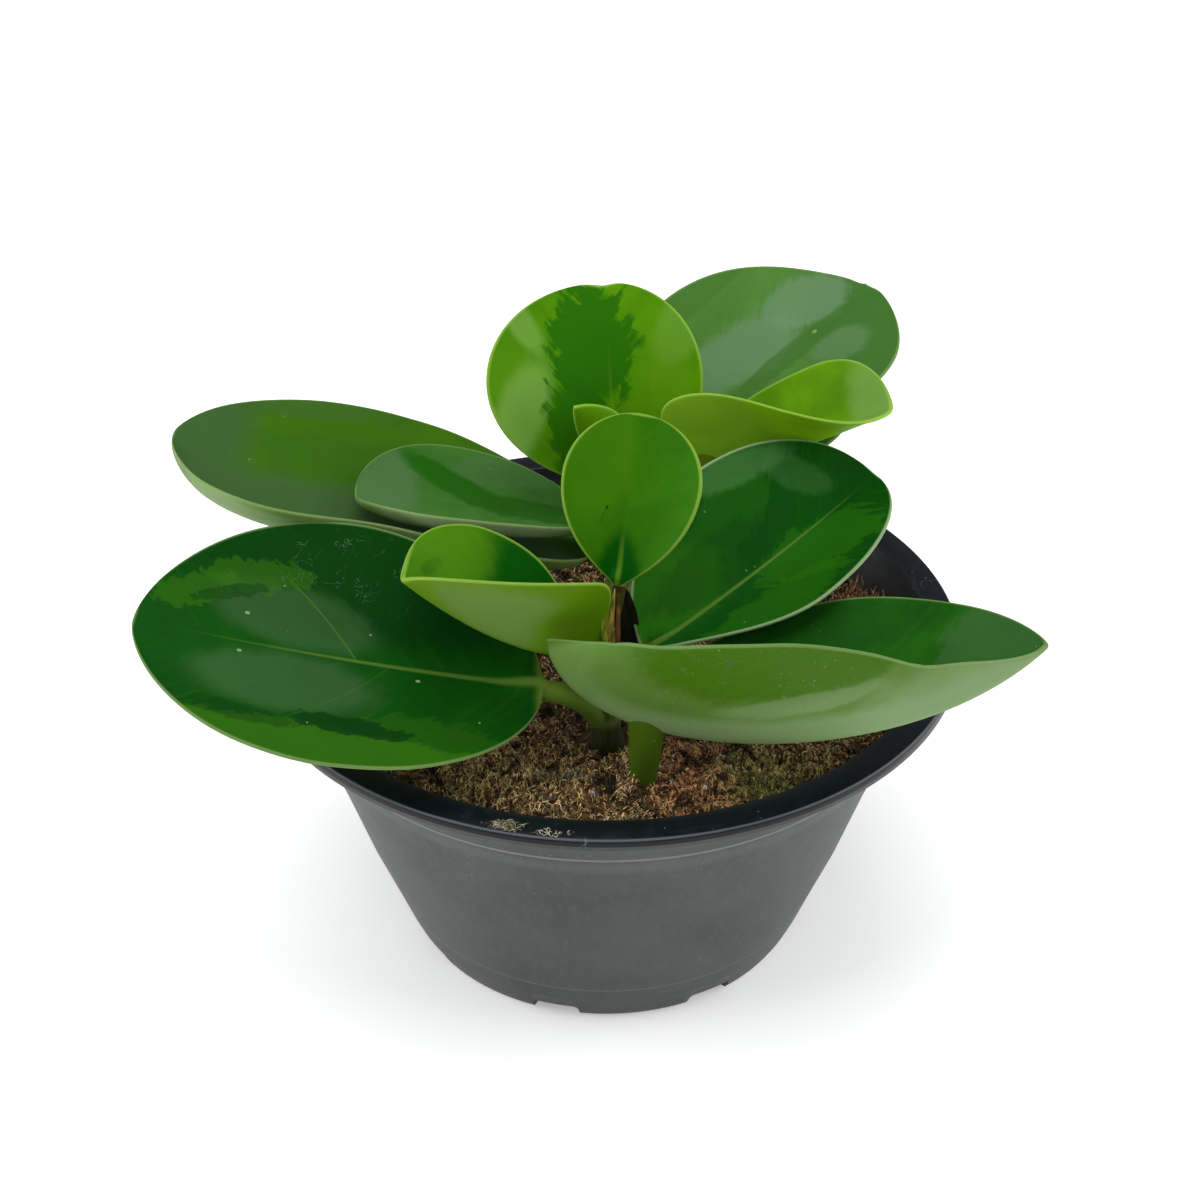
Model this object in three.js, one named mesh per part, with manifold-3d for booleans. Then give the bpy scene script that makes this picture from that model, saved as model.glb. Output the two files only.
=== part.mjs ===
// A two-tone peperomia in a shallow round nursery pot: eleven thick, spoon-shaped leaves on two
// short stems and one rooted stalk, which stand in peat. Millimetres, +Z up. The origin is on the
// floor under the pot's axis, and the front of the object looks along -Y.
import * as THREE from "three";
import { mergeVertices } from "three/addons/utils/BufferGeometryUtils.js";
import Module from "manifold-3d";

// Pot: a six-inch bulb pan of thin black plastic. Its wall leans out from the foot to a shoulder
// and on through a plain collar to the flange that makes the rim.
const POT_HEIGHT = 80;
const RIM_RADIUS = 82.5;
const THROAT_RADIUS = 75.3;
const FLANGE_THICKNESS = 1.3;
const FLANGE_ROUND = 0.5;
const LIP_DROP = 1.6;
const LIP_THICKNESS = 0.8;
const WALL = 1.2;
const FOOT_RADIUS = 44.6;
const SHOULDER_STEP = 0.8;
const SHOULDER_CHAMFER = 0.6;
const FLOOR_THICKNESS = 1.4;
const POT_SIDES = 40;
// The wall's outside from the foot to the shoulder: [height, radius].
const WALL_LINE = [[0.8, 46.7], [3, 48.0], [8, 50.2], [16, 53.2], [30, 58.6], [48, 64.5], [65, 70.6]];

// Underside: a ring-shaped channel that drains through round holes, and notches in the foot.
const CHANNEL = { inner: 24, outer: 39.2, depth: 2.6, slope: 1.3 };
const DRAIN = { count: 8, turn: -14, holeRadius: 3.4, ringRadius: 31.6, holeSides: 10 };
const NOTCH = { width: 11, height: 4.2, inner: 42.1, outer: 54.1 };

// Peat: a root ball that fills the pot but for the gap, with a lumpy top banked up at the front.
const SOIL_LEVEL = 70;
const SOIL_FLOOR = 5.2;
const SOIL_SIDES = 36;
const LUMPS = { height: 1.3, length: 60, width: 72 };
const RIPPLES = { height: 0.9, length: 40 };
const BANK = { height: 3.2, from: 30, to: 66 };
const EDGE_DROP = { height: 1.6, from: 55, to: 72 };
const GAP = 0.3;

// Leaves and stems.
const BLADE_THICKNESS = 1.3;
const MARGIN_THICKNESS = 0.7;
const BLADE_ROWS = 12;
const BLADE_COLUMNS = 8;
const CURL_STEPS = 8;
const STALK_RADIUS = 2.1;
const KEEL_RADIUS = 0.5;
const KEEL_REACH = 0.3;
const SEAT_TAPER = 0.85;
const STALK_SIDES = 6;
const STALK_STEPS = 10;
const STEM_SIDES = 9;
const STEM_STEPS = 14;
const JOINT = { swell: 0.7, spread: 2.2 };
const STEM_TOP = { share: 0.97, narrowing: 0.75 };

const COLOURS = {
  pot: { color: 0x26282a, roughness: 0.5 },
  soil: { color: 0x4a3420, roughness: 1 },
  stem: { color: 0x4f6b16, roughness: 0.5 },
  old: { color: 0x1d5a14, roughness: 0.35 },
  young: { color: 0x5a9a10, roughness: 0.35 },
};

// Each stem is a line from its buried end to its growing point, with the heights of its joints.
const STEMS = {
  main_stem: {
    line: [[2, -33, 42], [1, -36, 62], [-1, -36, 84], [0, -38, 104]],
    radius: 2.9,
    joints: [79, 89, 98],
  },
  back_stem: {
    line: [[4, 14, 42], [4, 15, 62], [4, 12, 88], [3, 8, 112]],
    radius: 3.2,
    joints: [84, 95, 104],
  },
};

// Each leaf leaves its stem at `from`, or stands in the peat by its own stalk where it has no stem.
// Its midrib passes through the base, middle and tip in `rib`, or dips as four points there pull
// it, and the stalk joins it at `seat`, a share of its length. `half` is the blade's width on each
// side of it. `roll` turns the blade about the midrib and lifts its right side, and `fold` lifts
// both halves: [at the base, at the tip]. `cup` lifts the margins further. Angles are degrees.
// `widest` is where along the rib a half is widest. `point` shapes its base and `blunt` its tip:
// 0.5 is round, less is squarer, more is sharper. `lobe` sweeps the margin back at the base.
// `cleft` notches the tip, and `dent` the margin: [side, where, how deep]. A pair is
// [left, right], seen from above, from base to tip.
const LEAVES = {
  leaf_front_left: {
    stem: "main_stem", tone: "old", from: [0, -36, 76],
    rib: [[-14, -42, 90], [-56, -45, 99], [-101, -44, 109]],
    half: [31, 32], roll: [24, 24], fold: [13, 8], cup: [10, 10], widest: 0.52,
    blunt: [0.64, 0.55],
  },
  leaf_back_left: {
    stem: "back_stem", tone: "old", from: [4, 13, 83],
    rib: [[-4, 12, 92], [-54, 15, 108], [-100, 17, 121]],
    half: [36, 29.5], roll: [2, 9], fold: [2, 0], cup: [36, 10], widest: [0.6, 0.42],
    blunt: [0.6, 0.64],
  },
  leaf_mid_left: {
    stem: "back_stem", tone: "old", from: [4, 11, 95],
    rib: [[-3, 8, 102.5], [-33, 3, 109.5], [-57, 0, 114.5]],
    half: [18.5, 22], roll: [2, 2], fold: [4, 4], cup: [60, 20], widest: 0.54,
  },
  leaf_young_left: {
    stem: "main_stem", tone: "young", from: [-1, -36, 84], seat: 0.1,
    rib: [[-1, -42, 98.5], [-22, -44.5, 103.8], [-42, -47, 120.6]],
    half: [22.5, 22], roll: [-10, -16], fold: [72, 38], cup: [8, 8], widest: [0.3, 0.76],
    point: [0.44, 0.7], blunt: [0.46, 0.34], lobe: [11, 0],
  },
  leaf_young_centre: {
    stem: "main_stem", tone: "young", from: [0, -38, 103],
    rib: [[3, -39.4, 115.6], [5, -32, 132], [8, -23, 148]],
    half: [15, 16.8], roll: [0, 0], fold: [14, 6], cup: [14, 14], widest: 0.6, point: 0.85,
  },
  leaf_right: {
    stem: "main_stem", tone: "old", from: [0, -36.5, 91.5],
    rib: [[12, -40, 101.6], [36.5, -19.5, 108.5], [61, 2, 118.3]],
    half: [27, 19], roll: [-21, -21], fold: [24, 20], cup: [8, 12], widest: 0.48,
    point: [0.5, 0.62], lobe: [13, 0],
  },
  leaf_front_right: {
    tone: "old", from: [10.5, -46.5, 46], seat: 0.36, stalk: 3,
    rib: [[-11.7, -50, 107.6], [-10.6, -56.5, 80.1], [62.9, -63, 78.7], [91.7, -63, 115.2]],
    half: [34, 36.2], roll: [18, 20], fold: [49, 41], cup: [8, 8], widest: [0.67, 0.46],
    point: [2.5, 0.46], blunt: [0.46, 0.8], dent: [1, 0.8, 0.13],
  },
  leaf_back_round: {
    stem: "back_stem", tone: "young", from: [3, 10, 104],
    rib: [[2, 12.5, 110], [1, 18.7, 131.9], [-1, 31.7, 152.4]],
    half: [30, 21.5], roll: [0, 0], fold: [12, 8], cup: [14, 14], widest: 0.55, point: [0.78, 0.6],
    cleft: 1.2,
  },
  leaf_back_right: {
    stem: "back_stem", tone: "old", from: [4, 13, 88],
    rib: [[22, 27, 114], [41, 40, 129], [63, 54, 142]],
    half: [30, 30.5], roll: [-20, -20], fold: [10, 8], cup: [8, 8], widest: [0.45, 0.5],
    point: [0.24, 0.55], blunt: [1.2, 0.5], lobe: [28, 4], cleft: 1.2,
  },
  leaf_young_right: {
    stem: "back_stem", tone: "young", from: [3, 9, 100], seat: 0.14,
    rib: [[17.5, 10.2, 117.7], [41, 9.4, 120.6], [65, 7.2, 135.6]],
    half: [18.6, 22], roll: [22, -14], fold: [60, 14], cup: [8, 8], widest: [0.7, 0.46],
    point: [0.8, 0.36], blunt: 0.4, lobe: [0, 16],
  },
  leaf_bud: {
    stem: "back_stem", tone: "young", from: [3, 7.5, 111],
    rib: [[1, 5.8, 116.5], [-1, 3.8, 126.6], [-7, 0.8, 136.4]],
    half: [7.5, 5], roll: [-70, -70], fold: [30, 10], cup: [12, 12], widest: 0.42,
    point: 0.8, blunt: 0.8,
  },
};

const wasm = await Module();
wasm.setup();

const { lerp, smoothstep, degToRad } = THREE.MathUtils;
const vec = (p) => new THREE.Vector3(...p);

// One side's value of a setting that may be a pair.
const ofSide = (value, side) => (Array.isArray(value) ? value[side < 0 ? 0 : 1] : value);

// Geometry to a solid that can be joined and cut, and back.
function solid(geometry) {
  geometry.deleteAttribute("normal");
  geometry.deleteAttribute("uv");
  const merged = mergeVertices(geometry, 1e-4);
  const vertProperties = new Float32Array(merged.attributes.position.array);
  const triVerts = new Uint32Array(merged.index.array);
  return new wasm.Manifold(new wasm.Mesh({ numProp: 3, vertProperties, triVerts }));
}

function geometryOf(made) {
  const mesh = made.getMesh();
  const geometry = new THREE.BufferGeometry();
  geometry.setAttribute("position", new THREE.BufferAttribute(mesh.vertProperties, 3));
  geometry.setIndex(new THREE.BufferAttribute(mesh.triVerts, 1));
  geometry.computeVertexNormals();
  return geometry;
}

// A closed solid skinned over a row of closed loops that hold the same number of points.
function skin(loops) {
  const around = loops[0].length;
  const points = loops.flat();
  const middleOf = (loop) => loop.reduce((sum, p) => sum.add(p), vec([0, 0, 0])).divideScalar(around);
  const first = points.push(middleOf(loops[0])) - 1;
  const last = points.push(middleOf(loops.at(-1))) - 1;
  const top = (loops.length - 1) * around;
  const index = [];
  for (let j = 0; j < around; j++) {
    const k = (j + 1) % around;
    for (let row = 0; row < top; row += around) {
      index.push(row + j, row + k, row + around + k);
      index.push(row + j, row + around + k, row + around + j);
    }
    index.push(first, k, j);
    index.push(last, top + j, top + k);
  }
  return new THREE.BufferGeometry().setFromPoints(points).setIndex(index);
}

// A round rod along a curve. `radiusAt` gives its radius at a share of its length, and `extra`
// grows the rod on all sides, ends too, which makes the hole that it stands in.
function rod(curve, radiusAt, sides, steps, extra) {
  const { tangents, normals, binormals } = curve.computeFrenetFrames(steps);
  const loops = normals.map((normal, i) => {
    const radius = radiusAt(i / steps) + extra;
    const overrun = { 0: -extra, [steps]: extra }[i] ?? 0;
    return Array.from({ length: sides }, (_, j) => {
      const turn = (2 * Math.PI * j) / sides;
      return curve
        .getPointAt(i / steps)
        .addScaledVector(tangents[i], overrun)
        .addScaledVector(normal, radius * Math.cos(turn))
        .addScaledVector(binormals[i], radius * Math.sin(turn));
    });
  });
  return solid(skin(loops));
}

// The blade's midrib is a smooth arc through its base, middle and tip. One that dips steeply at
// its base is given by four points: its ends, and the two that pull it down between them.
function midrib(leaf) {
  const points = leaf.rib.map(vec);
  if (points.length === 4) return new THREE.CubicBezierCurve3(...points);
  const [base, middle, tip] = points;
  const pull = middle.multiplyScalar(2).addScaledVector(base, -0.5).addScaledVector(tip, -0.5);
  return new THREE.QuadraticBezierCurve3(base, pull, tip);
}

// The blade's frame at a share s of its midrib: point, way along, way to the right, way up.
function ribFrame(leaf, s) {
  const rib = midrib(leaf);
  const [base, tip] = [rib.getPoint(0), rib.getPoint(1)];
  const along = rib.getTangent(s);
  const level = new THREE.Vector3(tip.y - base.y, base.x - tip.x, 0).normalize();
  level.addScaledVector(along, -level.dot(along)).normalize();
  const right = level.applyAxisAngle(along, -degToRad(lerp(...leaf.roll, s * s)));
  return { point: rib.getPoint(s), along, right, up: right.clone().cross(along) };
}

// How wide half a blade is at a share s of its length: two half ellipses that meet at the widest
// place, each with its own power, which is 0.5 for a true one.
function halfWidth(leaf, side, s) {
  const widest = ofSide(leaf.widest, side);
  const atBase = s < widest;
  const away = atBase ? 1 - s / widest : (s - widest) / (1 - widest);
  const power = ofSide(atBase ? (leaf.point ?? 0.55) : (leaf.blunt ?? 0.5), side);
  const [dentSide, dentAt, dentDepth] = leaf.dent ?? [0, 0, 0];
  const dent = dentSide === side ? dentDepth * Math.exp(-Math.pow((s - dentAt) / 0.05, 2)) : 0;
  const width = ofSide(leaf.half, side) * Math.pow(Math.max(1 - away * away, 0), power);
  return Math.max(0.4, width * (1 - dent));
}

// A point of the blade: s along the midrib, t from -1 at the left margin to 1 at the right one,
// and face 1 for the upper side or -1 for the lower one. From the midrib the half rises at the
// fold's angle, and it curls up towards its margin.
function bladePoint(leaf, s, t, face) {
  const { point, along, right, up } = ribFrame(leaf, s);
  const side = t < 0 ? -1 : 1;
  const share = Math.abs(t);
  const width = halfWidth(leaf, side, s);
  const fold = degToRad(lerp(...leaf.fold, s * s));
  const curl = degToRad(ofSide(leaf.cup, side));
  const slopeAt = (u) => fold + curl * u * u * u;
  let [across, lift] = [0, 0];
  for (let i = 0; i < CURL_STEPS; i++) {
    const slope = slopeAt((share * (i + 0.5)) / CURL_STEPS);
    across += (width * share * Math.cos(slope)) / CURL_STEPS;
    lift += (width * share * Math.sin(slope)) / CURL_STEPS;
  }
  const skinOff = (face * lerp(BLADE_THICKNESS, MARGIN_THICKNESS, share * share)) / 2;
  const fullness = width / ofSide(leaf.half, side);
  const lobe = ofSide(leaf.lobe ?? 0, side) * share * fullness * (1 - s) * (1 - s);
  const cleft = (leaf.cleft ?? 0) * Math.exp(-Math.pow(across / 4, 2)) * smoothstep(s, 0.8, 1);
  return point
    .addScaledVector(right, side * (across - skinOff * Math.sin(slopeAt(share))))
    .addScaledVector(up, lift + skinOff * Math.cos(slopeAt(share)))
    .addScaledVector(along, -lobe - cleft);
}

function blade(leaf) {
  const loops = [];
  for (let i = 0; i <= BLADE_ROWS; i++) {
    const s = 0.5 - 0.5 * Math.cos((Math.PI * i) / BLADE_ROWS);
    const loop = [];
    for (const face of [1, -1]) {
      for (let j = 0; j <= BLADE_COLUMNS; j++) {
        const t = Math.sin((Math.PI / 2) * ((2 * j) / BLADE_COLUMNS - 1));
        loop.push(bladePoint(leaf, s, face * t, face));
      }
    }
    loops.push(loop);
  }
  return solid(skin(loops));
}

// The leaf's stalk. At the base of the blade it arrives along the midrib and runs on under it as
// the raised keel, thinning out. Where it is seated further on, it comes from straight below and
// tapers into the midrib.
function stalk(leaf, extra = 0) {
  const start = vec(leaf.from);
  const seat = leaf.seat ?? 0;
  const base = ribFrame(leaf, seat);
  const reach = start.distanceTo(base.point);
  const arrival = base.along.clone().lerp(vec([0, 0, 1]), Math.min(1, 6 * seat)).normalize();
  const elbow = base.point.clone().addScaledVector(arrival, -reach / 2);
  const points = new THREE.QuadraticBezierCurve3(start, elbow, base.point).getPoints(4);
  for (let i = 1; i <= 4 && !seat; i++) {
    const { point, up } = ribFrame(leaf, (KEEL_REACH * i) / 4);
    points.push(point.addScaledVector(up, -BLADE_THICKNESS / 3));
  }
  const curve = new THREE.CatmullRomCurve3(points, false, "centripetal");
  const stalkShare = seat ? SEAT_TAPER : reach / curve.getLength();
  const radiusAt = (u) => {
    const run = Math.max(0, (u - stalkShare) / (1 - stalkShare));
    return lerp(leaf.stalk ?? STALK_RADIUS, KEEL_RADIUS, run);
  };
  return rod(curve, radiusAt, STALK_SIDES, STALK_STEPS, extra);
}

function leafSolid(leaf) {
  const joined = blade(leaf).add(stalk(leaf));
  return leaf.stem ? joined.subtract(stem(STEMS[leaf.stem], GAP)) : joined;
}

// A stem thickens at its joints, where the leaves leave it, and narrows to its growing point.
function stem({ line, radius, joints }, extra = 0) {
  const curve = new THREE.CubicBezierCurve3(...line.map(vec));
  const radiusAt = (u) => {
    const height = curve.getPointAt(u).z;
    const swells = joints.map((z) => JOINT.swell * Math.exp(-Math.pow((height - z) / JOINT.spread, 2)));
    return radius * (u > STEM_TOP.share ? STEM_TOP.narrowing : 1) + Math.max(...swells);
  };
  return rod(curve, radiusAt, STEM_SIDES, STEM_STEPS, extra);
}

// Half the pot's section as [radius, height] points: under the floor, up the outside, round the
// flange with its turned-down lip, and down the inside.
function potProfile() {
  const under = POT_HEIGHT - FLANGE_THICKNESS;
  const [shoulderHeight, shoulderRadius] = WALL_LINE.at(-1);
  const outside = [
    ...WALL_LINE,
    [shoulderHeight + SHOULDER_CHAMFER, shoulderRadius + SHOULDER_STEP],
    [under, THROAT_RADIUS + WALL],
  ];
  const { inner, outer, depth, slope } = CHANNEL;
  const points = [
    [0, 0],
    [inner - slope, 0],
    [inner, depth],
    [outer - slope, depth],
    [outer, 0],
    [FOOT_RADIUS, 0],
    ...outside.map(([z, r]) => [r, z]),
    [RIM_RADIUS - LIP_THICKNESS, under],
    [RIM_RADIUS - LIP_THICKNESS, under - LIP_DROP],
    [RIM_RADIUS, under - LIP_DROP],
    [RIM_RADIUS, POT_HEIGHT - FLANGE_ROUND],
    [RIM_RADIUS - FLANGE_ROUND, POT_HEIGHT],
    [THROAT_RADIUS, POT_HEIGHT],
    ...outside.slice(1, -1).reverse().map(([z, r]) => [r - WALL, z]),
    [FOOT_RADIUS, FLOOR_THICKNESS],
    [outer + slope / 2, FLOOR_THICKNESS],
    [outer - slope / 2, depth + FLOOR_THICKNESS],
    [inner - slope / 2, depth + FLOOR_THICKNESS],
    [inner - 2 * slope, FLOOR_THICKNESS],
    [0, FLOOR_THICKNESS],
  ];
  return points.map(([r, z]) => new THREE.Vector2(r, z));
}

function pot() {
  let made = solid(new THREE.LatheGeometry(potProfile(), POT_SIDES).rotateX(Math.PI / 2));
  for (let i = 0; i < DRAIN.count; i++) {
    const angle = degToRad(DRAIN.turn - 90 + (360 * i) / DRAIN.count);
    const notch = new THREE.BoxGeometry(NOTCH.outer - NOTCH.inner, NOTCH.width, 2 * NOTCH.height)
      .translate((NOTCH.inner + NOTCH.outer) / 2, 0, 0)
      .rotateZ(angle);
    const { holeRadius, holeSides, ringRadius, count } = DRAIN;
    const hole = new THREE.CylinderGeometry(holeRadius, holeRadius, 4 * CHANNEL.depth, holeSides)
      .rotateX(Math.PI / 2)
      .translate(ringRadius, 0, 0)
      .rotateZ(angle + Math.PI / count);
    made = made.subtract(solid(notch)).subtract(solid(hole));
  }
  return made;
}

// The radius that the peat may have at a height, a gap inside the flats of the many-sided wall.
function soilRadius(z) {
  const line = [...WALL_LINE, [POT_HEIGHT, THROAT_RADIUS + WALL]];
  const i = Math.max(1, line.findIndex(([height]) => height >= z));
  const [[z0, r0], [z1, r1]] = [line[i - 1], line[i]];
  const wall = lerp(r0, r1, (z - z0) / (z1 - z0)) - WALL;
  return wall * Math.cos(Math.PI / POT_SIDES) - GAP - 0.1;
}

// Height of the peat's surface: lumps and ripples, a bank at the front, a drop to the edge.
function soilHeight(x, y) {
  const wave = (distance, length) => Math.sin((2 * Math.PI * distance) / length);
  const lumps = LUMPS.height * wave(x + 12, LUMPS.length) * wave(y + 18, LUMPS.width);
  const ripples = RIPPLES.height * wave(x + y, RIPPLES.length);
  const bank = BANK.height * smoothstep(-y, BANK.from, BANK.to);
  const drop = EDGE_DROP.height * smoothstep(Math.hypot(x, y), EDGE_DROP.from, EDGE_DROP.to);
  return SOIL_LEVEL + lumps + ripples + bank - drop;
}

function soil() {
  const ring = (radiusAt, heightAt) =>
    Array.from({ length: SOIL_SIDES }, (_, j) => {
      const turn = (2 * Math.PI * j) / SOIL_SIDES;
      const [cx, cy] = [Math.cos(turn), Math.sin(turn)];
      const r = radiusAt(cx, cy);
      return vec([r * cx, r * cy, heightAt(r * cx, r * cy)]);
    });
  const level = (z, inset) => ring(() => soilRadius(z) - inset, () => z);
  const edgeRadius = (cx, cy) => soilRadius(soilHeight(70 * cx, 70 * cy) - 1);
  const top = (share) => ring((cx, cy) => share * edgeRadius(cx, cy), soilHeight);
  let made = solid(
    skin([
      level(SOIL_FLOOR, 30),
      ...[SOIL_FLOOR, 14, 30, 48].map((z) => level(z, 0)),
      ...[1, 0.94, 0.85, 0.74, 0.62, 0.5, 0.37, 0.24, 0.11].map(top),
    ]),
  );
  for (const setting of Object.values(STEMS)) made = made.subtract(stem(setting, GAP));
  const rooted = Object.values(LEAVES).filter((leaf) => !leaf.stem);
  for (const leaf of rooted) made = made.subtract(stalk(leaf, GAP));
  return made;
}

const plant = new THREE.Group();
function place(name, made, look) {
  const material = new THREE.MeshStandardMaterial({ metalness: 0, ...COLOURS[look] });
  const mesh = new THREE.Mesh(geometryOf(made), material);
  mesh.name = name;
  plant.add(mesh);
}

place("pot", pot(), "pot");
place("soil", soil(), "soil");
for (const [name, setting] of Object.entries(STEMS)) place(name, stem(setting), "stem");
for (const [name, leaf] of Object.entries(LEAVES)) place(name, leafSolid(leaf), leaf.tone);

export default plant;
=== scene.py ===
import random
from math import atan, cos, exp, hypot, pi, radians, sin, sqrt, tan

import bmesh
import bpy
from mathutils import Matrix, Quaternion, Vector, noise


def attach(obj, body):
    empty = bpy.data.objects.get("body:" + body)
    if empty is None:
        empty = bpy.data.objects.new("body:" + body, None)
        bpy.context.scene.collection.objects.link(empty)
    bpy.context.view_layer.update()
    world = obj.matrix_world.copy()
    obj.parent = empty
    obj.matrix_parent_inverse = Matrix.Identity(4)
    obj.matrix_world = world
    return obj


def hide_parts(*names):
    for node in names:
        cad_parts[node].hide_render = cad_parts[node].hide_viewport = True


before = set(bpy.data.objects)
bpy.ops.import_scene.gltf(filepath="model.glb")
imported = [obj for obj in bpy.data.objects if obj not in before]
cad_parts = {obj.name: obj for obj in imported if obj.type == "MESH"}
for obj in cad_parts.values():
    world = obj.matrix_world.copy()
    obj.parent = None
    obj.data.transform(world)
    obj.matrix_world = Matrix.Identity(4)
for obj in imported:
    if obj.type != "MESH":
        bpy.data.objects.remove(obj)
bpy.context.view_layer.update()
mm = 0.001
tiny = 1e-6

print("camera and light")
camera = {"at": (0, -502.8, 407.4), "aim": (-1.3, 3.0, 84.6), "lens": 76.94, "clip": 10}
lights = {  # where, size and watts of each soft box
    "top": {"at": (-150, -50, 1620), "size": 1500, "watts": 18},
    "left": {"at": (-900, -150, 450), "size": 900, "watts": 7},
    "right": {"at": (900, -50, 450), "size": 900, "watts": 7},
    "front": {"at": (100, -900, 700), "size": 600, "watts": 1.6},
}
room = {"lit": (0, 0, 80), "colour": (0.93, 0.96, 1.0, 1), "strength": 0.25}


def addObject(name, data):
    made = bpy.data.objects.new(name, data)
    bpy.context.scene.collection.objects.link(made)
    return made


def addAimed(name, data, place, target):
    made = addObject(name, data)
    made.location = Vector(place) * mm
    sight = Vector(target) * mm - made.location
    made.rotation_euler = sight.to_track_quat("-Z", "Y").to_euler()
    return made


cameraData = bpy.data.cameras.new("camera")
cameraData.lens = camera["lens"]
cameraData.clip_start = camera["clip"] * mm
bpy.context.scene.camera = addAimed("camera", cameraData, camera["at"], camera["aim"])
for name, box in lights.items():
    light = bpy.data.lights.new(name, "AREA")
    light.energy = box["watts"]
    light.size = box["size"] * mm
    addAimed(name, light, box["at"], room["lit"])
world = bpy.data.worlds.new("room")
world.use_nodes = True
background = world.node_tree.nodes["Background"].inputs
background["Color"].default_value = room["colour"]
background["Strength"].default_value = room["strength"]
bpy.context.scene.world = world
bpy.context.scene.view_settings.view_transform = "Standard"


def feed(node, sockets):  # a wire or a fixed value for each of these sockets
    for key, value in sockets.items():
        if isinstance(value, Wire):
            node.id_data.links.new(value.socket, node.inputs[key])
        else:
            node.inputs[key].default_value = value


# A socket of a shader that sums are written with
class Wire:
    def __init__(self, tree, socket=None):
        self.tree = tree
        self.socket = socket

    def node(self, kind, settings, sockets, output=0):
        made = self.tree.nodes.new(kind)
        for key, value in settings.items():
            setattr(made, key, value)
        feed(made, sockets)
        return Wire(self.tree, made.outputs[output])

    def maths(self, operation, first, second=0.0):
        return self.node("ShaderNodeMath", {"operation": operation}, {0: first, 1: second})

    def __add__(self, other):
        return self.maths("ADD", self, other)

    def __sub__(self, other):
        return self.maths("SUBTRACT", self, other)

    def __rsub__(self, other):
        return self.maths("SUBTRACT", other, self)

    def __mul__(self, other):
        return self.maths("MULTIPLY", self, other)

    def __truediv__(self, other):
        return self.maths("DIVIDE", self, other)

    def __abs__(self):
        return self.maths("ABSOLUTE", self)

    __radd__ = __add__
    __rmul__ = __mul__


def tone(red, green, blue):  # a screen colour as the light that it stands for
    def linear(part):
        share = part / 255
        return share / 12.92 if share < 0.04 else ((share + 0.055) / 1.055) ** 2.4

    return (linear(red), linear(green), linear(blue), 1.0)


def tones(colours):
    return {key: tone(*colour) for key, colour in colours.items()}


def ease(value, low, high):  # 0 below low, 1 above high, smooth between
    settings = {"interpolation_type": "SMOOTHSTEP"}
    return value.node("ShaderNodeMapRange", settings, {0: value, 1: low, 2: high})


def fade(value, high, low):  # 1 below high, 0 above low
    return 1 - ease(value, high, low)


def mixed(mask, first, second):
    return mask.node("ShaderNodeMix", {"data_type": "RGBA"}, {0: mask, 6: first, 7: second}, 2)


def grain(where, size, detail=2.0, rough=0.5, twist=0.0):  # noise with lumps of that size in mm
    return where.node("ShaderNodeTexNoise", {}, {
        "Vector": where, "Scale": 1 / size, "Detail": detail, "Roughness": rough,
        "Distortion": twist,
    })


def cells(where, size):  # distance to scattered points, in cells of that size in mm
    return where.node("ShaderNodeTexVoronoi", {}, {"Vector": where, "Scale": 1 / size})


def stretched(where, x, y, z):
    return where.node("ShaderNodeMapping", {}, {"Vector": where, "Scale": (x, y, z)})


def heightOf(where):
    return where.node("ShaderNodeSeparateXYZ", {}, {0: where}, 2)


def lengthOf(where):
    return where.node("ShaderNodeVectorMath", {"operation": "LENGTH"}, {0: where}, 1)


def vector(x, y, z):
    wire = next(part for part in (x, y, z) if isinstance(part, Wire))
    return wire.node("ShaderNodeCombineXYZ", {}, {0: x, 1: y, 2: z})


def mark(wire, name):  # one of the piece's own named values
    return wire.node("ShaderNodeAttribute", {"attribute_name": name}, {}, 2)


def newFinish(name):  # a material, its shader node and its places in mm
    material = bpy.data.materials.new(name)
    material.use_nodes = True
    tree = material.node_tree
    place = Wire(tree).node("ShaderNodeTexCoord", {}, {}, 3)
    where = place.node("ShaderNodeVectorMath", {"operation": "SCALE"}, {0: place, 3: 1000.0})
    return material, tree.nodes["Principled BSDF"], where


def relief(height, depth, strength=1.0):  # bumps, depth in mm
    sockets = {"Strength": strength, "Distance": depth * mm, "Height": height}
    return height.node("ShaderNodeBump", {}, sockets)


def meshFrom(name, bm):
    mesh = bpy.data.meshes.new(name)
    bm.to_mesh(mesh)
    bm.free()
    return mesh


def addPiece(name, mesh, material, standsFor=None):
    mesh.materials.append(material)
    piece = addObject(name, mesh)
    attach(piece, "root")
    if standsFor:
        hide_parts(standsFor)
    return piece


# Turns a bmesh into a smooth piece of the part, with edges over that angle left sharp
def finishPiece(name, bm, material, standsFor=None, sharpFrom=None):
    for face in bm.faces:
        face.smooth = True
    for edge in bm.edges:
        if sharpFrom and edge.is_manifold and edge.calc_face_angle() > radians(sharpFrom):
            edge.smooth = False
    return addPiece(name, meshFrom(name, bm), material, standsFor)


# A grid that place(u, v) wraps into a skin, with values of its own at each corner
def wrap(bm, rows, columns, place, names=()):
    layers = [bm.verts.layers.float.get(name) or bm.verts.layers.float.new(name) for name in names]
    corners = bmesh.ops.create_grid(bm, x_segments=rows, y_segments=columns, size=0.5)["verts"]
    for corner in corners:
        point, *values = place(corner.co.x + 0.5, corner.co.y + 0.5)
        corner.co = Vector(point) * mm
        for layer, value in zip(layers, values):
            corner[layer] = value
    bmesh.ops.remove_doubles(bm, verts=corners, dist=tiny)
    bmesh.ops.recalc_face_normals(bm, faces=bm.faces)


def blend(a, b, share):
    return a + (b - a) * share


def smooth(value, low, high):
    share = min(1, max(0, (value - low) / (high - low)))
    return share * share * (3 - 2 * share)


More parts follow.
